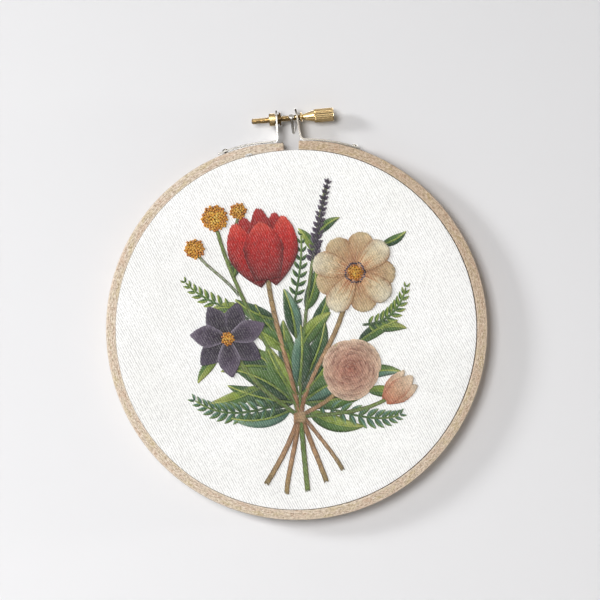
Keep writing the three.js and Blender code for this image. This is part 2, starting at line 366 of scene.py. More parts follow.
weave = {
    "ribPitch": 0.96, "ribDirection": 118,  # the ribs fall steeply to the right
    "valley": (212, 212, 211), "crest": (255, 255, 254),
    "bump": 0.05, "unevenness": 1.2, "dash": 2.2, "slubs": 2.3,
    # painted shade: darker to the left, where the light is stronger
    "leftPaintedShade": [(0.0, (248, 248, 248)), (1.0, (255, 255, 255))],  # a shade duller to the left
}
cloth = {
    "thickness": 0.45, "bendRadius": 0.18, "grow": 0.5,
    "frontRows": 44, "bendRows": 8, "rimRows": 5, "columns": 288,
    "ripple": 0.05, "ripples": 41, "sway": 0.07,
}


def ribHeight(tree):
    # A sine across the ribs, pushed about by noise. Broken dashes along the ribs and wider patches
    # change how strongly it shows, and finer slubs lie over it.
    where = objectPlace(tree)
    parts = axes(where)
    slant = math.radians(weave["ribDirection"] - 90)
    rise, run = math.sin(slant) / mm, math.cos(slant) / mm
    across = calc("MULTIPLY_ADD", parts["Z"], rise, times(parts["X"], run))
    along = calc("MULTIPLY_ADD", parts["Z"], run, times(parts["X"], -rise))
    wander = times(noise(where, 520.0), weave["unevenness"] * turn / 3)
    rib = calc("SINE", calc("MULTIPLY_ADD", across, turn / weave["ribPitch"], wander))
    cells = addNode(tree, "CombineXYZ", {0: times(across, 1.0 / weave["ribPitch"]),
                                         1: times(along, 1.0 / weave["dash"])}).outputs[0]
    dashes = grey(noise(cells, 1.0, 2.0), 0.3, 0.7)
    patches = grey(noise(where, 150.0, 2.0), 0.3, 0.7)
    strength = times(calc("MULTIPLY_ADD", dashes, 0.6, 0.12),
                     calc("MULTIPLY_ADD", patches, 0.8, 0.6))
    slubs = calc("SUBTRACT", noise(cells, weave["slubs"], 2.0), 0.5)
    height = calc("MULTIPLY_ADD", slubs, 1.6, times(rib, strength))
    return calc("ADD", height, 0.55), where


def twillMaterial():
    # painted shade: darker in the weave's valleys than on its crests, and darker to the left where the
    # light is stronger; a little uneven in tone
    material, tree, shader = newMaterial("twill", 0.92)
    height, where = ribHeight(tree)
    # painted shade: the weave's valleys are coloured darker than its crests
    woven = ramp(height, [(0.0, weave["valley"]), (0.62, weave["crest"])])
    patchy = ramp(noise(where, 40.0), [(0.35, (250, 250, 249)), (0.65, (255, 255, 255))])
    # painted shade: the cloth is darker to the left, where the light is stronger
    leftPaintedShade = ramp(grey(axes(where)["X"], -0.076, 0.03), weave["leftPaintedShade"])
    woven = tinted(tinted(woven, patchy), leftPaintedShade)
    connect(shader, {"Base Color": woven, "Sheen Weight": 0.15,
                     "Normal": bump(height, weave["bump"])})
    return material


def clothSurface(radius, angle):
    # the taut face's depth: faint ripples fan in from the rim, and the middle sways a little
    rim = (radius / clothRadius) ** 8
    ripple = cloth["ripple"] * rim * np.sin(cloth["ripples"] * angle + 2 * np.sin(3 * angle))
    sway = cloth["sway"] * np.sin(radius / 19 + 2 * angle) * (1 - rim) * radius / clothRadius
    return clothFront + np.where(radius < clothRadius - 0.4, ripple + sway, 0)


def buildCloth():
    # a path of (radius, depth) turned about the centre: flat face, round bend, rim running back
    bend, full = cloth["bendRadius"], clothRadius + cloth["grow"]
    flat = np.linspace(0, full - bend, cloth["frontRows"] + 1)[1:]
    curl = np.linspace(0, math.pi / 2, cloth["bendRows"] + 1)[1:]
    down = np.linspace(clothFront - bend, clothBackEdge, cloth["rimRows"] + 1)[1:]
    radius = np.concatenate([flat, full - bend + bend * np.sin(curl), down * 0 + full])
    depth = np.concatenate([flat * 0, clothFront - bend + bend * np.cos(curl), down])
    angle = np.arange(cloth["columns"]) * turn / cloth["columns"]
    r, a = np.meshgrid(radius, angle, indexing="ij")
    face = clothSurface(r, a)
    r = r * (1 - dipAt(a) / full)
    out = np.where(np.arange(len(radius))[:, None] < len(flat), face, depth[:, None])
    points = np.stack([r * np.sin(a), r * np.cos(a), out], -1).reshape(-1, 3)
    points = np.concatenate([[[0, 0, clothFront]], points])
    faces = gridFaces(len(radius), cloth["columns"], first=1)
    nextOne = np.roll(np.arange(cloth["columns"]), -1) + 1
    faces += np.stack([nextOne * 0, np.arange(cloth["columns"]) + 1, nextOne], -1).tolist()
    piece = addPiece("stretchedCloth", place(points), faces, twillMaterial(), outward=False)
    if piece.data.polygons[0].normal.y > 0:
        piece.data.flip_normals()
    wall = piece.modifiers.new("thickness", "SOLIDIFY")
    wall.thickness = cloth["thickness"] * mm
    wall.offset = -1
    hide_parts("cloth")
    return piece


clothPiece = buildCloth()
cutRadius = clothRadius - cloth["bendRadius"] + cloth["bendRadius"] * math.pi / 2
cutRadius += clothFront - cloth["bendRadius"] - clothBackEdge
print("cloth stretched, cut", round(2 * cutRadius), "mm across")


# Wooden rings

wood = {
    "pale": (222, 205, 182), "yellow": (214, 196, 158), "pink": (216, 188, 162),
    "fleck": (124, 96, 72), "light": (246, 236, 222), "side": (196, 184, 170), "bump": 0.05,
    # how fine each is along the ring, across it and inwards, its detail and its roughness
    "grain": {
        "patches": ((0.14, 0.4, 0.35), 4.0, 0.65), "fibres": ((0.25, 2.6, 2.6), 4.0, 0.65),
        "ticks": ((2.0, 0.6, 0.4), 2.0, 0.6), "flecks": ((0.75, 2.3, 1.6), 3.0, 0.7),
        "innerShadeDashes": ((1.3, 0.2, 0.2), 1.0, 0.55),
    },
    # which grain darkens the wood, where that starts and is full, and by what share
    "dark": [("flecks", 0.5, 0.64, 0.75), ("ticks", 0.53, 0.68, 0.7), ("fibres", 0.54, 0.72, 0.45)],
    # painted shade round the hoop, from the split to the right and back to it: darker on the upper
    # right, lighter on the left, as the light falls
    "round": [(0.0, (226, 218, 210)), (0.19, (224, 216, 208)), (0.3, (238, 234, 230)),
              (0.4, (243, 241, 240)), (0.6, (249, 249, 250)), (0.98, (244, 244, 246))],
}
ringFit = 0.52  # from the cloth's radius to the outer ring's inside
rings = {
    "outer": {"thickness": outerRadius - clothRadius - ringFit, "from": 0.8, "to": 356.1, "steps": 400,
              "ease": 0.3, "edges": (0.5, 0.16, 0.8, 0.8), "play": 0.3, "playAt": 95,
              "lean": 0.24, "leanAt": 115, "lower": 0.25},
    "inner": {"thickness": 4.5, "from": 0, "to": 360, "steps": 360,
              "edges": (0.9, 0.9, 0.9, 0.9), "play": 0.0, "playAt": 0, "lean": 0.0, "leanAt": 0,
              "lower": 0.0},
}


def woodMaterial():
    # The grain follows ringPlace, how far in millimetres a point is along the ring, across it and out
    # from its front: broad pinkish and yellowish patches, fibres, dark and light flecks, short ticks
    # across them, dashes of painted shade along the inner edge where it meets the cloth, paler edges,
    # and sides painted darker as shade.
    material, tree, shader = newMaterial("paleWood", 0.62)
    where = attribute(tree, "ringPlace", "Vector")
    parts = axes(where)
    grain = {name: noise(stretched(where, scale), 1.0, detail, roughness)
             for name, (scale, detail, roughness) in wood["grain"].items()}
    colour = ramp(grain["patches"], [(0.36, wood["pink"]), (0.5, wood["pale"]), (0.62, wood["yellow"])])
    inner = times(grey(parts["Y"], -1.85, -2.15), 0.75)
    # painted shade: dashes along the inner edge, where the ring meets the cloth
    dark = times(inner, grey(grain["innerShadeDashes"], 0.5, 0.6))
    for name, low, high, share in wood["dark"]:
        dark = calc("MAXIMUM", dark, times(grey(grain[name], low, high), share))
    colour = blended(dark, colour, rgba(wood["fleck"]))
    pale = times(grey(grain["flecks"], 0.47, 0.36), 0.9)
    # paler towards both edges, and in light flecks
    edgeWards = calc("MULTIPLY_ADD", grain["fibres"], 1.2, calc("ABSOLUTE", parts["Y"]))
    paleShare = times(grey(edgeWards, 2.0, 2.5), 0.45)
    paleShare = calc("MAXIMUM", pale, calc("MULTIPLY_ADD", inner, -0.8, paleShare))
    colour = blended(paleShare, colour, rgba(wood["light"]))
    # painted shade: the rounded edges and sides behind the front face are darker
    side = grey(parts["Z"], -0.05, -0.45)
    colour = blended(side, colour, tinted(colour, rgba(wood["side"])))
    # painted shade: the wood is darker on the hoop's upper right
    tone = ramp(times(parts["X"], 1 / (turn * clothRadius)), wood["round"])
    connect(shader, {"Base Color": tinted(colour, tone),
                     "Roughness": calc("MULTIPLY_ADD", grain["flecks"], 0.3, 0.45),
                     "Normal": bump(calc("SUBTRACT", grain["fibres"], dark), wood["bump"])})
    return material


def roundedBox(halfWidth, halfDepth, edges, corner=6):
    # a rectangle's corners in turn, each its centre plus a quarter circle: outer front, inner front,
    # inner back and outer back
    angle = np.linspace(0, math.pi / 2, corner)[None, :] + np.arange(4)[:, None] * math.pi / 2
    signX, signY = np.array([[1], [-1], [-1], [1]]), np.array([[1], [1], [-1], [-1]])
    edge = np.array(edges)[:, None]
    x = signX * (halfWidth[:, None, None] - edge) + edge * np.cos(angle)
    y = signY * (halfDepth[:, None, None] - edge) + edge * np.sin(angle)
    return x.reshape(len(x), -1), y.reshape(len(y), -1)


def buildRing(name, node, innerRadius, depth, size):
    # A rounded rectangle carried round the hoop. Its inside stands off the cloth by a little play on
    # one side and its front lies a little lower on the other, its outside bulges a touch, and the two
    # ends of a split ring are eased.
    closed = size["to"] - size["from"] == 360
    angle = np.radians(np.linspace(size["from"], size["to"], size["steps"], endpoint=not closed))
    shrink = np.zeros(len(angle) if closed else len(angle) + 2)
    if not closed:
        eased = size["ease"] / outerRadius
        angle = np.concatenate([angle[:1], angle[:1] + eased, angle[1:-1], angle[-1:] - eased,
                                angle[-1:]])
        shrink[[0, -1]] = size["ease"]
    near = 0.5 + 0.5 * np.cos(angle - math.radians(size["playAt"]))
    play, depth = size["play"] * near, depth - size["lower"] * (1 - near)
    bulge = size["lean"] * np.cos(angle - math.radians(size["leanAt"])) + 0.05 * np.sin(5 * angle + 1)
    inside = innerRadius + play - dipAt(angle)
    outside = innerRadius + size["thickness"] + bulge - dipAt(angle) - shavedAt(angle) * (not closed)
    half = (outside - inside) / 2 - shrink
    across, out = roundedBox(half, depth / 2 - shrink, size["edges"])
    radius = ((outside + inside) / 2)[:, None] + across
    a = np.broadcast_to(angle[:, None], radius.shape)
    points = np.stack([radius * np.sin(a), radius * np.cos(a), out + depth[:, None] / 2], -1)
    rows, columns = radius.shape
    faces = gridFaces(rows, columns, closedRows=closed, caps=not closed)
    piece = addPiece(name, place(points), faces, woodFinish, sharp=50)
    ringPlace = [a * innerRadius, across, out - depth[:, None] / 2]
    addAttribute(piece, "ringPlace", "FLOAT_VECTOR", np.stack(ringPlace, -1))
    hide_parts(node)


woodFinish = woodMaterial()
innerLow, _, innerRadius = roundNode("inner_ring")
buildRing("woodOuterRing", "outer_ring", clothRadius + ringFit, ringDepth, rings["outer"])
buildRing("woodInnerRing", "inner_ring", innerRadius - rings["inner"]["thickness"], -innerLow[1],
          rings["inner"])
print("wooden rings built")


# Metal: brass screw and nut, bright steel strips, rivets and nail

brass = {"bright": (228, 202, 152), "deep": (208, 178, 127), "groove": (72, 52, 28), "bump": 0.01}
steel = {"bright": (206, 203, 197), "deep": (168, 165, 160), "bump": 0.008,
         "shadeByHeight": [(0.0, (196, 196, 196)), (0.25, (250, 250, 250)), (0.82, (255, 255, 255)),
                      (0.86, (150, 148, 144))]}
# painted shade: a darker copy of the same steel for the right ear and rivet, with its own shade by
# height
shadedSteel = {"bright": (206, 201, 192), "deep": (178, 172, 162), "bump": 0.006,
             "shadeByHeight": [(0.0, (214, 214, 214)), (0.26, (255, 255, 255)), (0.36, (228, 228, 228)),
                          (0.48, (180, 178, 175)), (0.6, (168, 166, 163)), (0.68, (205, 203, 200)),
                          (0.8, (205, 203, 200)), (0.86, (150, 148, 144))]}
joint = frame["joints"][0]
axisPoint = np.array(joint["pos_m"]) / mm
axisAlong = np.array(joint["axis"]) / np.linalg.norm(joint["axis"])
axisUp = np.array([-axisAlong[2], 0, axisAlong[0]])
axisOut = np.array([0, -1.0, 0])
earHeights = (-0.006, 0.011)  # what shadeByHeight spans, in metres


def metalMaterial(name, look, roughness):
    # painted shade: darker in the grooves, with fine scratches; groove is 0 on a crest and 1 in a
    # groove. The steel strips are painted darker as shade along the ring and at the ears' tips.
    material, tree, shader = newMaterial(name, roughness, 1.0)
    where = objectPlace(tree)
    cloudy = noise(where, 900.0, 4.0, 0.6)
    scratches = noise(stretched(where, (1, 1, 7)), 1500.0, 3.0)
    colour = ramp(cloudy, [(0.3, look["deep"]), (0.65, look["bright"])])
    if "groove" in look:
        groove = times(attribute(tree, "groove"), 0.9)
        colour = blended(groove, colour, rgba(look["groove"]))
    # painted shade by height: darker along the ring and at the ears' tips
    if "shadeByHeight" in look:
        height = grey(axes(where)["Z"], *earHeights)
        colour = tinted(colour, ramp(height, look["shadeByHeight"]))
    rough = calc("MULTIPLY_ADD", scratches, 0.25, roughness - 0.1)
    connect(shader, {"Base Color": colour, "Roughness": rough, "Normal": bump(scratches, look["bump"])})
    return material


def aroundAxis(station, radius, angle):
    # stations run along the screw from the left ear, and an angle of 0 points up
    side = np.cos(angle)[..., None] * axisUp + np.sin(angle)[..., None] * axisOut
    return axisPoint + station[..., None] * axisAlong + radius[..., None] * side


def turned(knots, columns, step, fineStep=None):
    # Knots are (station, radius, kind). Rows are filled in between them no more than step apart, or
    # fineStep where the surface is threaded, and each row is one ring of columns about the axis.
    knots = np.array(knots, float)
    rows = [knots[:1]]
    for before, after in zip(knots, knots[1:]):
        fine = fineStep and after[2] == threaded
        length = math.hypot(after[0] - before[0], after[1] - before[1])
        count = max(1, math.ceil(length / (fineStep if fine else step)))
        share = np.arange(1, count + 1)[:, None] / count
        rows.append(before + (after - before) * share * [1, 1, 0] + [0, 0, after[2] - before[2]])
    station, radius, kind = np.repeat(np.concatenate(rows).T[..., None], columns, 2)
    angle = np.broadcast_to(np.arange(columns) * turn / columns, station.shape)
    return station, radius, kind, angle


thumbScrew = {
    "tip": -10.9, "shankRadius": 1.25, "threadPitch": 0.45, "threadDepth": 0.16,
    "collar": (9.7, 10.6), "collarRadius": 1.9,
    "neckRadius": 1.1, "coneFrom": 11.0, "coneRadius": 1.25, "coneTo": 15.5, "coneEndRadius": 2.35,
    "head": (15.7, 24.0), "headRadius": 2.85, "ridges": 18, "ridgeDepth": 0.2,
    "columns": 144, "rowStep": 0.4, "threadStep": 0.09,
}
plain, threaded, ridged, sixSided = range(4)


def disc(start, end, radius, along, inwards, kind=plain):
    # the outline of a disc whose two edges are cut off by so much along the axis and inwards
    return [(start, radius - inwards, plain), (start + along, radius, kind),
            (end - along, radius, kind), (end, radius - inwards, plain)]


def buildThumbScrew(material):
    # a turned outline whose radius dips along a helix on the shank and in straight grooves on the head
    s = thumbScrew
    r, tip, (c0, c1), (h0, h1) = s["shankRadius"], s["tip"], s["collar"], s["head"]
    knots = [
        (tip, r - 0.45, plain), (tip + 0.35, r, plain), (c0 - 0.3, r, threaded), (c0, r, plain),
        *disc(c0, c1, s["collarRadius"], 0.12, 0.12),
        (c1 + 0.1, s["neckRadius"], plain), (s["coneFrom"], s["coneRadius"], plain),
        (s["coneTo"], s["coneEndRadius"], plain), (h0, s["coneEndRadius"], plain),
        *disc(h0, h1, s["headRadius"], 0.28, 0.3, ridged), (h1, 1.0, plain), (h1 - 0.25, 0.7, plain),
    ]
    station, radius, kind, a = turned(knots, s["columns"], s["rowStep"], s["threadStep"])
    helix = 0.5 - 0.5 * np.cos(turn * station / s["threadPitch"] - a)
    groove = (0.5 + 0.5 * np.cos(s["ridges"] * a)) ** 2
    onThread, onHead = kind == threaded, kind == ridged
    radius = radius - s["threadDepth"] * helix * onThread - s["ridgeDepth"] * groove * onHead
    points, faces = aroundAxis(station, radius, a), gridFaces(*station.shape, caps=True)
    piece = addPiece("brassThumbScrew", points, faces, material, body="screw", sharp=40)
    # painted shade in the grooves of the thread and of the head's ridges
    addAttribute(piece, "groove", "FLOAT", helix * onThread * 0.6 + groove * onHead * 0.55)
    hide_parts("thumb_screw")


nut = {
    "from": -3.5, "to": -0.82, "flatDistance": 2.45, "boreRadius": 1.4, "neckRadius": 2.2,
    "corners": 0.6,  # 1 gives flat sides and 0 a round nut
    "flange": (0.84, 1.6), "flangeRadius": 2.9, "columns": 96, "rowStep": 0.35,
}


def buildNut(material):
    # a closed loop of (station, radius) through the bore, its outside drawn out to a hexagon
    n = nut
    bore, neck, (f0, f1) = n["boreRadius"], n["neckRadius"], n["flange"]
    knots = [
        (n["from"], bore + 0.15, plain),
        *disc(n["from"], n["to"], n["flatDistance"], 0.22, 0.12, sixSided),
        (n["to"], neck, plain), (f0, neck, plain), *disc(f0, f1, n["flangeRadius"], 0.1, 0.1),
        (f1, bore + 0.15, plain), (f1 - 0.15, bore, plain), (n["from"] + 0.15, bore, plain),
    ]
    station, radius, kind, a = turned(knots, n["columns"], n["rowStep"])
    toFlat = np.mod(a, turn / 6) - turn / 12
    hexagon = 1 + n["corners"] * (np.minimum(1 / np.cos(toFlat), 1.13) - 1)
    points = aroundAxis(station, np.where(kind == sixSided, radius * hexagon, radius), a)
    faces = gridFaces(*station.shape, closedRows=True)
    piece = addPiece("brassNut", points, faces, material, sharp=14)
    # the flange and the neck behind the nut are dark, and the bore is painted darker as shade inside it
    dark = np.where(station > n["to"], 1.0, (radius < neck) * 0.6)
    addAttribute(piece, "groove", "FLOAT", dark)
    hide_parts("nut")


nail = {
    "foot": (-0.5, 0.3), "slope": 35, "swing": 6.0, "reach": 9.05, "shaftRadius": 0.6, "headRadius": 1.2,
    "headThickness": 0.75, "columns": 48,
}


def buildNail(material):
    # a turned outline along a line from the wall, up and a little left; the head is a shallow dome
    slope, swing = math.radians(nail["slope"]), math.radians(nail["swing"])
    along = np.array([-math.sin(swing) * math.cos(slope), -math.cos(swing) * math.cos(slope),
                      math.sin(slope)])
    side = np.cross(along, [0, 0, 1.0])
    side /= np.linalg.norm(side)
    up = np.cross(side, along)
    length = nail["reach"] / math.cos(slope)
    neck, thin, wide = length - nail["headThickness"], nail["shaftRadius"], nail["headRadius"]
    rise = np.linspace(0.12, 1, 7) * math.pi / 2
    station = np.concatenate([[0.0], np.linspace(0.6, neck - 0.2, 8), [neck], [neck, neck + 0.12],
                              neck + 0.3 + (nail["headThickness"] - 0.3) * np.sin(rise)])
    radius = np.concatenate([np.full(9, thin), [thin + 0.15], [wide * 0.9, wide],
                             wide * 0.05 + wide * 0.95 * np.cos(rise) ** 0.7])
    angle = np.arange(nail["columns"]) * turn / nail["columns"]
    s, a = np.meshgrid(station, angle, indexing="ij")
    ring = np.cos(a)[..., None] * up + np.sin(a)[..., None] * side
    points = s[..., None] * along + radius[:, None, None] * ring
    points[0] -= along * (points[0][:, 1] / along[1])[:, None]  # the foot is cut off flat at the wall
    points += [nail["foot"][0], 0, nail["foot"][1]]
    faces = gridFaces(*s.shape, caps=True)
    piece = addPiece("steelNail", points, faces, material, sharp=40)
    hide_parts("wall_nail")


def smoothCopy(name, node, bevel, material, shift=0.0):
    # The solid's own shape with its points merged and its sharp edges rounded. What lies on the ring
    # is drawn in with it, by a share that falls to nothing at the screw's height. Shift moves the
    # piece sideways.
    work = bmesh.new()
    work.from_mesh(frame["nodes"][node].data)
    work.transform(frame["nodes"][node].matrix_world)
    bmesh.ops.remove_doubles(work, verts=work.verts, dist=0.002 * mm)
    bmesh.ops.dissolve_limit(work, angle_limit=math.radians(1), verts=work.verts, edges=work.edges)
    bmesh.ops.recalc_face_normals(work, faces=work.faces)
    mesh = bpy.data.meshes.new(name)
    work.to_mesh(mesh)
    work.free()
    points = np.empty(3 * len(mesh.vertices))
    mesh.vertices.foreach_get("co", points)
    points = points.reshape(-1, 3)
    right, up = points[:, 0] / mm - hoopCentre[0], points[:, 2] / mm - hoopCentre[2]
    radius, angle = np.hypot(right, up), np.arctan2(right, up)
    share = ((screwRadius - radius) / (screwRadius - outerRadius - 1)).clip(0, 1)
    inwards = (dipAt(angle) + shavedAt(angle)) * share / radius
    points -= np.stack([right * inwards - shift, right * 0, up * inwards], -1) * mm
    mesh.vertices.foreach_set("co", points.ravel())
    finishMesh(mesh, material, 50)
    piece = addObject(name, mesh)
    edge = piece.modifiers.new("roundEdges", "BEVEL")
    edge.width = bevel * mm
    edge.segments = 2
    edge.limit_method = "ANGLE"
    edge.angle_limit = math.radians(45)
    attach(piece, "hoop")
    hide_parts(node)


screwRadius = 86.5  # the screw's height over the hoop's centre
brassFinish = metalMaterial("goldBrass", brass, 0.21)
# the right ear and rivet get the copy of the steel that is painted darker as shade
steelFinish = {"left": metalMaterial("brightSteel", steel, 0.24),
               "right": metalMaterial("shadedSteel", shadedSteel, 0.19)}
buildThumbScrew(brassFinish)
buildNut(brassFinish)
buildNail(steelFinish["left"])
for side, shift in (("left", -0.3), ("right", -0.4)):
    smoothCopy(side + "SteelEar", "lug_" + side, 0.12, steelFinish[side], shift)
    smoothCopy(side + "Rivet", "rivet_" + side, 0.08, steelFinish[side])
print("screw, nut, nail, ears and rivets built")


# Stitching. A set of stitches is lines of (right, up, height) with a colour at each point,
# and height is over the cloth's face.

thread = {
    "width": 0.36, "height": 0.17, "spacing": 0.26, "rings": 4, "sides": 4, "arch": 0.08,
    "stitch": 4.2, "shortest": 1.2, "lap": 0.75,  # lengths along a column
    "endShare": 0.45, "plyLength": 0.5, "behind": (0.12, 0.2), "vary": 0.1,
    "ribShade": 0.24, "ribGlow": 0.13, "plyBump": 0.015,
    "pulledFlat": 0.7,  # the share of the heights below that is left once the thread is tight
}
dice = np.random.default_rng(7)
goldenTurn = turn * 0.381966


def bezier(points):
    # a smooth curve through its first and last point, pulled towards those between
    points = np.asarray(points, float)
    order = len(points) - 1
    pick = [math.comb(order, i) for i in range(order + 1)]
    low = [math.comb(order - 1, i) for i in range(order)]

    def at(t):
        # the point at t, and the sideways direction there, to the right of the way along
        t = np.asarray(t, float)[..., None]
        where = sum(pick[i] * (1 - t) ** (order - i) * t ** i * points[i] for i in range(order + 1))
        along = sum(low[i] * (1 - t) ** (order - 1 - i) * t ** i * (points[i + 1] - points[i])
                    for i in range(order))
        along = unit(along)
        return where, np.stack([along[..., 1], -along[..., 0]], -1)
    return at


def arc(centre, radius, start, span):
    # part of a circle, whose sideways direction points away from the centre
    def at(t):
        a = start + span * np.asarray(t, float)
        out = np.stack([np.sin(a), np.cos(a)], -1)
        return np.asarray(centre, float) + radius * out, out
    return at


def leaning(base, angle, length, bend):
    # a curve from the base that leans at an angle from straight up, bent sideways in its middle
    a = math.radians(angle)
    along, side = np.array([math.sin(a), math.cos(a)]), np.array([math.cos(a), -math.sin(a)])
    base = np.asarray(base, float)
    return bezier([base, base + along * length * 0.5 + side * bend, base + along * length])


def unit(vectors):
    # each vector divided by its own length
    return vectors / np.maximum(np.linalg.norm(vectors, axis=-1, keepdims=True), 1e-9)


def pathLength(path):
    # the steps between 30 points along the path, added up
    where = path(np.linspace(0, 1, 30))[0]
    return float(np.linalg.norm(np.diff(where, axis=0), axis=1).sum())


def shades(stops, t):
    # the colour at t along a list of (position, colour)
    places = [stop[0] for stop in stops]
    table = linear([stop[1] for stop in stops])
    return np.stack([np.interp(t, places, table[:, i]) for i in range(3)], -1)


def steady(t):
    return np.ones_like(t)


def petalShape(foot, top):
    # the width's share grows from the foot as a quarter sine and narrows again towards the top
    def at(t):
        grow = foot + (1 - foot) * np.sin(math.pi / 2 * (t / 0.62).clip(0, 1))
        return grow * (1 - (1 - top) * ((t - 0.62) / 0.38).clip(0, 1) ** 2)
    return at


def columnStitches(path, width, shape, tone, lift, crown=0.2, edge=None, edgeShare=0.8, edgeSide=0,
                   edgePower=4, taper=0.0, power=2.5, stitch=None, vary=None, veins=0.0):
    # Long and short stitches in columns that run along a path. The width at t is shape(t) of the
    # whole, and the outer columns stop earlier by taper, which makes the end round or pointed.
    # The edge's colour comes in with edgePower of the distance from the middle column, or from the
    # other edge where edgeSide is 1 or -1.
    stitch, vary = stitch or thread["stitch"], vary or thread["vary"]
    length = pathLength(path)
    columns = max(3, round(width / thread["spacing"]))
    pieces = max(1, round(length / stitch))
    u = np.linspace(-1, 1, columns)
    end = 1 - taper * np.abs(u) ** power - 0.03 * dice.random(columns)
    cuts = (np.arange(pieces + 1)[None, :] + dice.uniform(-0.45, 0.45, (columns, 1))) / pieces
    cuts = np.concatenate([np.zeros((columns, 1)), cuts, np.ones((columns, 1))], 1).clip(0, 1)
    lap = thread["lap"] / length
    first, last = (cuts[:, :-1] - lap).clip(0, 1), (cuts[:, 1:] + lap).clip(0, 1)
    kept = (last - first) * length > thread["shortest"]
    streak = dice.uniform(-1, 1, (columns, 1))
    column, reach, streak, first, last = [
        np.broadcast_to(values, kept.shape)[kept][:, None]
        for values in (u[:, None], end[:, None], streak, first, last)]
    share = np.linspace(0, 1, thread["rings"])
    t = (first + (last - first) * share) * reach
    where, side = path(t)
    flat = where + side * (column * shape(t) * width / 2)[..., None]
    height = lift + crown * (1 - column ** 2) * np.sin(math.pi * t.clip(0.02, 0.98)) ** 0.6
    height = height + thread["arch"] * np.sin(math.pi * share) + dice.uniform(0, 0.05, first.shape)
    colour = shades(tone, (t + veins * streak * (1 - t)).clip(0, 1))
    if edge is not None:
        away = (1 + column * edgeSide) / 2 if edgeSide else np.abs(column)
        near = (edgeShare * away ** edgePower + 0 * t)[..., None]
        colour = colour * (1 - near) + linear(edge) * near
    colour = colour * dice.uniform(1 - vary, 1 + vary * 0.8, (len(t), 1, 1))
    return np.concatenate([flat, height[..., None]], -1), colour


def satinLeaf(path, width, tones, lift, slant=0.16, power=0.85):
    # satin stitches from the midrib out to the edge, slanting forwards, on one side and the other;
    # the leaf's half width at t is the sine of half a turn times t to the power
    count = max(6, round(pathLength(path) / thread["spacing"]))
    share = np.linspace(0, 1, thread["rings"])
    sets = []
    for side, tone in zip((-1, 1), tones):
        t = np.linspace(0, 1 - slant * 0.55, count) + dice.uniform(-0.4, 0.4, count) / count
        t = t.clip(0, 1)
        far = (t + slant * (1 - t * 0.6)).clip(0, 1)
        along = t[:, None] + (far - t)[:, None] * share
        where, normal = path(along)
        half = np.sin(math.pi * far ** power).clip(0, 1) ** 0.8 * width / 2
        flat = where + normal * (side * half[:, None] * share)[..., None]
        height = lift + 0.18 * np.sin(math.pi * (0.15 + 0.7 * share)) + dice.uniform(0, 0.05, (count, 1))
        colour = shades(leafTones[tone], along) * (1.08 - 0.24 * share[None, :, None])
        colour = colour * dice.uniform(0.84, 1.12, (count, 1, 1))
        sets.append((np.concatenate([flat, height[..., None]], -1), colour))
    return sets


def addThreads(name, points, colour, twist, firstEnd=1):
    # Many small closed tubes at once: points has one block of rings for each, every ring of a block
    # joined to the next and the end rings closed, the first one in reverse where firstEnd is -1.
    index = np.arange(points[..., 0].size).reshape(points.shape[:3])
    after = np.roll(index, -1, 2)
    quads = np.stack([index[:, :-1], after[:, :-1], after[:, 1:], index[:, 1:]], -1)
    faces = quads.reshape(-1, 4).tolist()
    faces += index[:, 0, ::firstEnd].tolist() + index[:, -1].tolist()
    piece = addPiece(name, place(points), faces, flossFinish)
    shown = np.ones(points.shape[:3] + (4,))
    shown[..., :3] = colour
    addAttribute(piece, "threadColour", "FLOAT_COLOR", shown)
    addAttribute(piece, "twist", "FLOAT", np.broadcast_to(twist, points.shape[:3]))
    print(name, "has", len(points), "stitches")


def sweepThreads(name, sets, behind=False):
    # A flattened ring of points carried along every stitch at once, thin at both of its ends.
    # Behind the cloth the stitches lie flat against its back.
    line = np.concatenate([part[0] for part in sets])
    colour = np.concatenate([part[1] for part in sets])
    if behind:
        deeper = cloth["thickness"] + dice.uniform(*thread["behind"], (len(line), 1, 1))
        line = line * [1, 1, 0] - deeper * [0, 0, 1]
    else:
        line = line * [1, 1, thread["pulledFlat"]]
    line = line + [0, 0, clothFront]
    rings, sides = thread["rings"], thread["sides"]
    along = unit(np.gradient(line, axis=1))
    side = unit(np.stack([along[..., 1], -along[..., 0], along[..., 2] * 0], -1))
    out = np.cross(side, along)
    out *= np.where(out[..., 2:] < 0, -1, 1)
    ends = np.isin(np.arange(rings), (0, rings - 1))
    taper = np.where(ends, thread["endShare"], 1.0)[None, :, None, None] / 2
    angle = np.arange(sides) * turn / sides + math.pi / 2
    wide = thread["width"] * taper * np.cos(angle)[:, None]
    tall = thread["height"] * taper * np.sin(angle)[:, None]
    points = line[:, :, None] + side[:, :, None] * wide + out[:, :, None] * tall
    steps = np.linalg.norm(np.diff(line, axis=1), axis=-1)
    run = np.concatenate([np.zeros((len(line), 1)), np.cumsum(steps, 1)], 1)
    twist = run[:, :, None] / thread["plyLength"] + np.arange(sides) / sides
    addThreads(name, points, colour[:, :, None], twist, firstEnd=-1)


def frenchKnots(name, places, radius, paint, rows=6, columns=8):
    # small squat balls with a wound groove: rings of points from pole to pole for all knots at once
    tilt = np.linspace(0.12, 0.88, rows) * math.pi
    p, a = np.meshgrid(tilt, np.arange(columns) * turn / columns, indexing="ij")
    wound = 1 + 0.1 * np.cos(2 * a + 5 * p)
    ball = np.stack([np.sin(p) * np.cos(a) * wound, np.sin(p) * np.sin(a) * wound,
                     np.cos(p) * 0.75], -1)
    places = places * [1, 1, thread["pulledFlat"]] + [0, 0, clothFront]
    points = places[:, None, None] + radius[:, None, None, None] * ball
    addThreads(name, points, paint[:, None, None], a * 2 + p * 3)


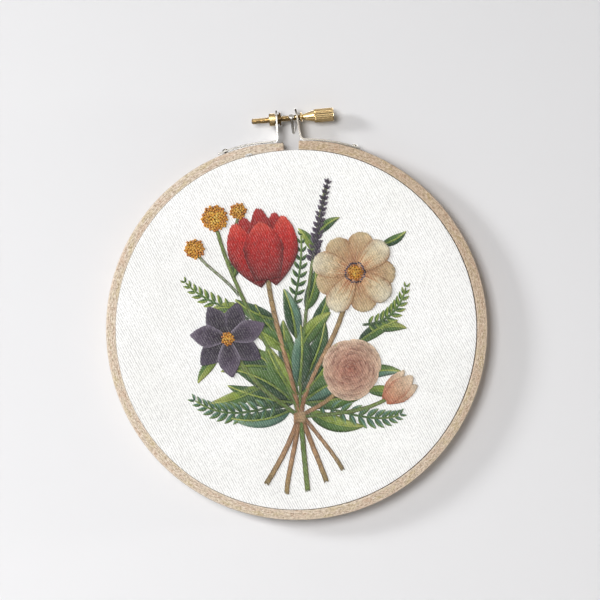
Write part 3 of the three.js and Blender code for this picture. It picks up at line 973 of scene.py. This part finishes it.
def flossMaterial():
    # the stitches' own colour, shaded in soft patches, with the ply's twist in the bump; the cloth's
    # ribs show through as fine lines of painted shade and painted highlight
    material, tree, shader = newMaterial("floss", 0.6)
    colour = attribute(tree, "threadColour", "Color")
    height, where = ribHeight(tree)
    white = (255, 255, 255)
    shading = [
        # painted shade: darker lines where the cloth's ribs sink
        (height, [(0.1, [255 * (1 - thread["ribShade"]) ** 0.45] * 3), (0.6, white)]),
        (noise(where, 2600.0, 2.0), [(0.3, (230, 230, 230)), (0.7, white)]),
        (noise(where, 300.0, 4.0, 0.65), [(0.32, (218, 216, 216)), (0.62, white)]),
    ]
    for factor, stops in shading:
        colour = tinted(colour, ramp(factor, stops))
    # painted highlight: lighter lines on the ribs' crests
    glow = times(grey(height, 0.7, 1.1), thread["ribGlow"])
    colour = blended(glow, colour, rgba((255, 253, 246)))
    ply = calc("SINE", times(attribute(tree, "twist"), turn))
    connect(shader, {"Base Color": colour, "Sheen Weight": 0.2, "Sheen Roughness": 0.4,
                     "Normal": bump(ply, thread["plyBump"])})
    return material


flossFinish = flossMaterial()

colours = {
    "red": [(0.0, (112, 10, 16)), (0.3, (176, 22, 24)), (0.75, (212, 38, 32)), (1.0, (228, 84, 64))],
    "redBack": [(0.0, (92, 8, 14)), (0.6, (150, 16, 20)), (1.0, (188, 32, 30))],
    "cream": [(0.0, (186, 120, 78)), (0.2, (222, 172, 124)), (0.45, (242, 220, 178)),
              (1.0, (250, 242, 216))],
    "creamBack": [(0.0, (168, 108, 72)), (0.3, (206, 160, 116)), (1.0, (232, 210, 166))],
    "plum": [(0.0, (38, 30, 44)), (0.45, (74, 60, 82)), (1.0, (122, 108, 130))],
    "plumBack": [(0.0, (30, 24, 36)), (0.5, (56, 46, 64)), (1.0, (88, 78, 98))],
    "blush": [(0.0, (176, 96, 76)), (0.45, (220, 160, 128)), (1.0, (244, 216, 188))],
    "bud": [(0.0, (196, 120, 88)), (0.35, (228, 178, 142)), (1.0, (246, 226, 198))],
    "stem": [(0.0, (158, 112, 78)), (0.5, (204, 162, 120)), (1.0, (170, 150, 96))],
    "stemGreen": [(0.0, (104, 136, 66)), (1.0, (140, 162, 84))],
    "gold": [(0.0, (190, 104, 18)), (0.5, (232, 164, 40)), (1.0, (250, 212, 96))],
    "goldBase": [(0.0, (150, 84, 16)), (1.0, (190, 120, 28))],
    "twine": [(0.0, (178, 136, 96)), (1.0, (226, 196, 152))],
}
leafTones = {
    "dark": [(0.0, (28, 56, 34)), (0.6, (48, 88, 48)), (1.0, (84, 120, 60))],
    "mid": [(0.0, (54, 88, 42)), (0.6, (92, 130, 60)), (1.0, (140, 162, 82))],
    "light": [(0.0, (96, 124, 50)), (0.5, (150, 172, 72)), (1.0, (192, 198, 108))],
    "blue": [(0.0, (58, 94, 78)), (0.6, (104, 146, 122)), (1.0, (160, 188, 158))],
}

tie = (1.5, -37.0)  # where the stems are gathered
# route, width, tone
stems = {
    "tulip": ([tie, (-3, -14), (-10, 4), (-12, 22)], 1.8, "stem"),
    "daisy": ([tie, (5, -18), (16, -8), (21, 12)], 1.7, "stem"),
    "star": ([tie, (-8, -30), (-18, -24), (-26, -10)], 1.6, "stemGreen"),
    "rose": ([tie, (6, -34), (12, -32), (18, -26)], 1.6, "stem"),
    "sprig": ([tie, (2, -4), (6, 30), (13, 62)], 1.1, "stemGreen"),
    "buttons": ([tie, (-6, -14), (-26, 12), (-34, 44)], 1.3, "stemGreen"),
    "secondButton": ([(-24, 14), (-30, 22), (-38, 26), (-42, 32)], 0.9, "stemGreen"),
    "thirdButton": ([(-28, 26), (-28, 34), (-26, 42), (-24.5, 48)], 0.8, "stemGreen"),
    "bud": ([tie, (12, -36), (28, -36), (39, -29)], 1.3, "stemGreen"),
    "tailOne": ([(2.6, -33), (-2, -48), (-8, -58), (-13, -66)], 1.9, "stem"),
    "tailTwo": ([(2.0, -33), (0, -50), (-4, -62), (-4, -70)], 1.7, "stem"),
    "tailThree": ([(1.6, -33), (3, -50), (4, -60), (5, -69)], 1.9, "stemGreen"),
    "tailFour": ([(1.0, -33), (6, -48), (10, -56), (13, -65)], 1.8, "stem"),
    "tailFive": ([(0.4, -33), (8, -44), (16, -52), (20, -60)], 1.4, "stem"),
}


def stemSets():
    # a band of long stitches along each curve, then the twine that ties them
    sets = [columnStitches(bezier(route), width, steady, colours[tone], 0.34, crown=0.3,
                           edge=(104, 76, 48), edgeShare=0.6, stitch=5.0)
            for route, width, tone in stems.values()]
    for i in range(11):
        # the twine's turns go across the gathered stems, each a little lower than the last
        low = tie[1] + 1.6 - i * 0.36
        wrap = bezier([(tie[0] - 2.5, low - 0.5), (tie[0], low + 0.4), (tie[0] + 2.5, low)])
        sets.append(columnStitches(wrap, 0.5, steady, colours["twine"], 0.85, crown=0.35, stitch=9,
                                   vary=0.25))
    return sets


# base, angle from straight up, length, width, tones of the two halves, sideways bend, height
lowLeaves = [
    ((0, -31), -76, 30, 8.0, ("dark", "dark"), -3, 0.02),
    ((3, -31), 78, 30, 8.0, ("dark", "mid"), 3, 0.02),
    ((1, -28), -46, 30, 9.0, ("dark", "mid"), 2, 0.02),
    ((2, -28), 50, 28, 9.0, ("dark", "dark"), -2, 0.02),
    ((1, -22), -14, 27, 8.0, ("dark", "mid"), -3, 0.02),
    ((3, -22), 20, 27, 8.0, ("dark", "dark"), 3, 0.02),
    ((-6, -4), -38, 19, 6.0, ("dark", "mid"), -2, 0.02),
    ((6, -2), 24, 19, 6.0, ("dark", "mid"), 2, 0.02),
    ((-12, -16), -96, 20, 6.0, ("mid", "dark"), 3, 0.02),
    ((-14, -24), -108, 24, 6.5, ("mid", "light"), -3, 0.02),
    ((-33, -12), -142, 14, 4.5, ("light", "mid"), 2, 0.02),
    ((30, -26), 100, 15, 5.0, ("light", "mid"), -2, 0.02),
    ((26, -6), 60, 20, 5.5, ("dark", "mid"), -2, 0.02),
    ((34, 0), 88, 13, 4.5, ("light", "mid"), -2, 0.02),
    ((36, 36), 62, 12, 4.0, ("mid", "dark"), 2, 0.02),
]
highLeaves = [
    ((-2, -30), -62, 27, 9.0, ("dark", "mid"), 4, 0.2),
    ((4, -30), 66, 27, 9.0, ("mid", "blue"), -4, 0.2),
    ((0, -28), -30, 25, 8.5, ("mid", "light"), -3, 0.24),
    ((3, -27), 34, 26, 8.0, ("dark", "mid"), 3, 0.24),
    ((1, -24), 2, 26, 8.5, ("blue", "dark"), 2, 0.32),
    ((-3, -10), -58, 21, 7.0, ("light", "mid"), 3, 0.26),
    ((2, -8), 40, 20, 7.0, ("light", "mid"), -3, 0.26),
    ((0, -4), -14, 22, 7.0, ("dark", "blue"), 2, 0.32),
    ((-8, 4), -64, 20, 6.5, ("mid", "dark"), -3, 0.2),
    ((4, 8), 14, 19, 6.0, ("dark", "mid"), 2, 0.2),
    ((-2, -34), -98, 26, 7.0, ("blue", "dark"), -5, 0.14),
    ((5, -34), 106, 25, 7.0, ("light", "mid"), 5, 0.14),
    ((-22, 8), -88, 14, 4.8, ("mid", "light"), 2, 0.14),
    ((-26, 22), 20, 13, 4.2, ("mid", "dark"), -2, 0.14),
    ((8, 32), -34, 13, 4.0, ("light", "mid"), 2, 0.14),
    ((9, 40), 52, 12, 4.0, ("mid", "dark"), -2, 0.14),
    ((26, -20), 84, 19, 5.5, ("mid", "blue"), -3, 0.14),
]
# route of the midrib, pairs of leaflets, the longest leaflet, tones
ferns = [
    ([(6, -31), (22, -36), (36, -40), (44, -36)], 11, 6.5, ("blue", "mid")),
    ([(-5, -31), (-20, -36), (-32, -38), (-43, -30)], 12, 6.5, ("mid", "blue")),
    ([(-20, 4), (-30, 10), (-40, 12), (-47, 20)], 10, 5.0, ("light", "mid")),
    ([(28, 2), (38, 2), (44, 8), (46.5, 18)], 10, 5.0, ("mid", "light")),
    ([(-2, 4), (0, 16), (3, 28), (2, 40)], 10, 4.5, ("mid", "dark")),
]


def leafSets(leaves):
    # two satin halves along a leaning curve, and a pale midrib that narrows to the tip
    sets = []
    for base, angle, length, width, tones, bend, lift in leaves:
        path = leaning(base, angle, length, bend)
        sets += satinLeaf(path, width, tones, lift)
        sets.append(columnStitches(path, 0.7, lambda t: 1 - 0.7 * t, leafTones["light"],
                                   lift + 0.26, crown=0.05))
    return sets


def fernSets():
    # leaflets in pairs along a midrib, the longest a third of the way up
    sets = []
    for route, pairs, longest, tones in ferns:
        path = bezier(route)
        sets.append(columnStitches(path, 0.8, lambda t: 1 - 0.5 * t, leafTones["mid"], 0.3, crown=0.1))
        where, side = path(np.linspace(0.1, 1, pairs))
        for i, (spot, normal) in enumerate(zip(where, side)):
            t = i / (pairs - 1)
            length = longest * (0.35 + 0.65 * math.sin(math.pi * (0.25 + 0.7 * t)))
            ahead = math.degrees(math.atan2(-normal[1], normal[0]))
            for lean in (-56, 56):
                leaflet = leaning(spot, ahead + lean * (1 - 0.45 * t), length, 0.5 * np.sign(lean))
                sets += satinLeaf(leaflet, length * 0.36, tones, 0.16, slant=0.3)
    return sets


# lean, length, width, foot share, tip taper, bend, height, tone
tulip = {
    "base": (-12, 21), "angle": -9,
    "petals": [
        (-13, 29, 13, 0.5, 0.5, -3, 0.3, "redBack"), (14, 29, 13, 0.5, 0.5, 3, 0.3, "redBack"),
        (1, 31, 13, 0.5, 0.45, 0, 0.5, "redBack"),
        (-21, 28, 14, 0.6, 0.45, -6, 0.7, "red"), (21, 28, 14, 0.6, 0.45, 6, 0.72, "red"),
        (1, 25, 17, 0.6, 0.4, 0, 0.98, "red"),
    ],
}
bud = {
    "base": (38, -30), "angle": 48,
    "petals": [
        (-16, 15, 6.5, 0.5, 0.5, -1.5, 0.4, "bud"), (16, 15, 6.5, 0.5, 0.5, 1.5, 0.42, "bud"),
        (0, 15.5, 8, 0.6, 0.45, 0, 0.66, "bud"),
    ],
}


def cupSets(flower, edge):
    # petals that all lean out of one base, the back ones first
    return [columnStitches(leaning(flower["base"], flower["angle"] + lean, length, bend), width,
                           petalShape(foot, 0.75), colours[tone], lift, edge=edge, edgeShare=0.95,
                           taper=taper, power=2.2, vary=0.08)
            for lean, length, width, foot, taper, bend, lift, tone in flower["petals"]]


daisy = {"centre": (25, 24), "petals": 9, "from": 2.4, "length": 15.8, "width": 10.5,
         "foot": 0.34, "top": 0.9, "taper": 0.2, "power": 3.0, "start": 8, "veins": 0.3}
star = {"centre": (-29, -4), "petals": 7, "from": 2.0, "length": 14.5, "width": 10.0,
        "foot": 0.4, "top": 0.6, "taper": 0.5, "power": 1.8, "start": 20, "veins": 0.1}


def roundSets(flower, tones, edge):
    # petals set evenly round a centre, every other one lower and behind
    sets = []
    centre = np.array(flower["centre"], float)
    order = list(range(0, flower["petals"], 2)) + list(range(1, flower["petals"], 2))
    for rank, i in enumerate(order):
        upper = i % 2 == 1
        angle = flower["start"] + i * 360 / flower["petals"] + dice.uniform(-4, 4)
        a = math.radians(angle)
        base = centre + flower["from"] * np.array([math.sin(a), math.cos(a)])
        path = leaning(base, angle, flower["length"] * dice.uniform(0.93, 1.05),
                       dice.uniform(-0.8, 0.8))
        sets.append(columnStitches(path, flower["width"], petalShape(flower["foot"], flower["top"]),
                                   colours[tones[not upper]], (0.8 if upper else 0.42) + 0.015 * rank,
                                   edge=edge, edgeShare=0.85, taper=flower["taper"],
                                   power=flower["power"], vary=0.06, veins=flower["veins"]))
    return sets


rose = {"centre": (23, -17), "radius": 13.0, "arcs": 23, "band": 4.0}


def roseSets():
    # a rolled rose: curved bands wound inwards by the golden angle, each higher, shorter and darker
    # than the last, shaded towards the inner edge that tucks in
    sets = []
    light, dark = np.array(colours["blush"][-1][1]), np.array(colours["blush"][0][1])
    for i in range(rose["arcs"]):
        share = i / (rose["arcs"] - 1)
        band = rose["band"] * (1 - 0.5 * share)
        radius = rose["radius"] * (1 - share) ** 0.85 + 0.6 - band / 2
        tone = [(t, light + (dark - light) * share * depth)
                for t, depth in ((0.0, 0.5), (0.5, 0.7), (1.0, 0.5))]
        path = arc(rose["centre"], max(radius, 0.4), i * goldenTurn, math.radians(95 + 90 * share))
        sets.append(columnStitches(path, band, lambda t: 0.5 + 0.5 * np.sin(math.pi * t), tone,
                                   0.45 + 0.8 * share, crown=0.12, edge=(146, 74, 58), edgeShare=1.0,
                                   edgeSide=-1, edgePower=1.1, stitch=5.0, vary=0.06))
    return sets


def discSets(centre, radius, lift):
    # a round patch of straight stitches under the knots
    u = np.arange(-radius, radius, thread["spacing"])
    half = np.sqrt(np.maximum(radius ** 2 - u ** 2, 0.2))
    share = np.linspace(-1, 1, thread["rings"])
    line = np.stack([centre[0] + u[:, None] + share * 0, centre[1] + half[:, None] * share,
                     lift + 0.1 * (1 - share ** 2) + u[:, None] * 0], -1)
    return [(line, shades(colours["goldBase"], dice.random((len(u), len(share)))))]


def knotDisc(centre, count, radius, lift, size, dome):
    # knots laid out like seeds: each is a golden angle on from the last and a little further out
    i = np.arange(count) + 0.5
    far = radius * np.sqrt(i / count)
    a = i * goldenTurn
    spots = np.stack([centre[0] + far * np.cos(a), centre[1] + far * np.sin(a),
                      lift + dome * (1 - (far / radius) ** 2)], -1)
    spots[:, :2] += dice.uniform(-0.1, 0.1, (count, 2))
    sizes = size * dice.uniform(0.85, 1.12, count)
    paint = shades(colours["gold"], dice.uniform(0, 1, count) * 0.5 + 0.5 * (1 - far / radius))
    return spots, sizes, paint


# centre, knots, radius, height, knot size, rise in the middle
knotPatches = [
    (daisy["centre"], 34, 3.2, 1.15, 0.56, 0.6),
    (star["centre"], 26, 2.8, 1.1, 0.54, 0.4),
    ((-34.5, 47), 84, 5.4, 0.4, 0.64, 0.9),
    ((-43, 34), 50, 4.1, 0.35, 0.62, 0.8),
    ((-24.5, 50), 36, 3.4, 0.35, 0.6, 0.7),
]
darkRing = {"knots": 30, "radius": 4.1, "scatter": 0.35, "height": 1.2, "size": 0.42}


def stitchKnots():
    # button flowers and the flowers' hearts, with a ring of dark knots round the daisy's heart
    parts = [knotDisc(*patch) for patch in knotPatches]
    (x, y), d = daisy["centre"], darkRing
    a = np.arange(d["knots"]) * turn / d["knots"]
    far = d["radius"] + dice.uniform(-d["scatter"], d["scatter"], len(a))
    spots = np.stack([x + far * np.cos(a), y + far * np.sin(a), a * 0 + d["height"]], -1)
    parts.append((spots, a * 0 + d["size"], shades(colours["plum"], dice.uniform(0, 1, len(a)))))
    frenchKnots("stitchedKnots", *[np.concatenate([part[i] for part in parts]) for i in range(3)])


sprig = {"from": 0.66, "steps": 15, "length": 4.2, "width": 1.9}


def sprigSets():
    # small plum buds in pairs up the sprig, shorter towards its tip
    sets = []
    t = np.linspace(sprig["from"], 1.0, sprig["steps"])
    where, side = bezier(stems["sprig"][0])(t)
    for i, (spot, normal) in enumerate(zip(where, side)):
        size = 1 - 0.5 * i / sprig["steps"]
        ahead = math.degrees(math.atan2(-normal[1], normal[0]))
        for lean in (-48, 48, 0):
            path = leaning(spot, ahead + lean + dice.uniform(-9, 9), sprig["length"] * size, 0.3)
            sets.append(columnStitches(path, sprig["width"] * size, petalShape(0.4, 0.7),
                                       colours["plum" if lean else "plumBack"],
                                       0.25 if lean else 0.45, crown=0.25, taper=0.4, power=2))
    return sets


looseEnd = {"route": [(-21.5, 73.0), (-20.0, 74.6), (-18.5, 73.9)], "width": 0.6, "height": 0.45,
            "tone": [(0, (252, 252, 250)), (1, (252, 252, 250))]}


def smallSets():
    # the sprig's buds, a loose end of white thread and the patches under the knots
    sets = sprigSets()
    sets.append(columnStitches(bezier(looseEnd["route"]), looseEnd["width"], steady,
                               looseEnd["tone"], looseEnd["height"]))
    for patch in knotPatches:
        sets += discSets(patch[0], patch[2] * 0.95, patch[3] - 0.3)
    return sets


motifs = {
    "stitchedStems": stemSets(),
    "stitchedLowLeaves": leafSets(lowLeaves) + fernSets(),
    "stitchedHighLeaves": leafSets(highLeaves),
    "stitchedTulip": cupSets(tulip, (96, 8, 14)),
    "stitchedDaisy": roundSets(daisy, ("cream", "creamBack"), (186, 136, 90)),
    "stitchedStar": roundSets(star, ("plum", "plumBack"), (150, 140, 158)),
    "stitchedRose": roseSets() + cupSets(bud, (190, 112, 82)),
    "stitchedSprig": smallSets(),
}
for name, sets in motifs.items():
    sweepThreads(name, sets)
stitchKnots()
# every third stitch shows behind the cloth, but for those of the upper leaves and small things
behind = [(line[::3], colour[::3]) for name, sets in motifs.items()
          if name not in ("stitchedHighLeaves", "stitchedSprig") for line, colour in sets]
sweepThreads("threadsBehind", behind, behind=True)
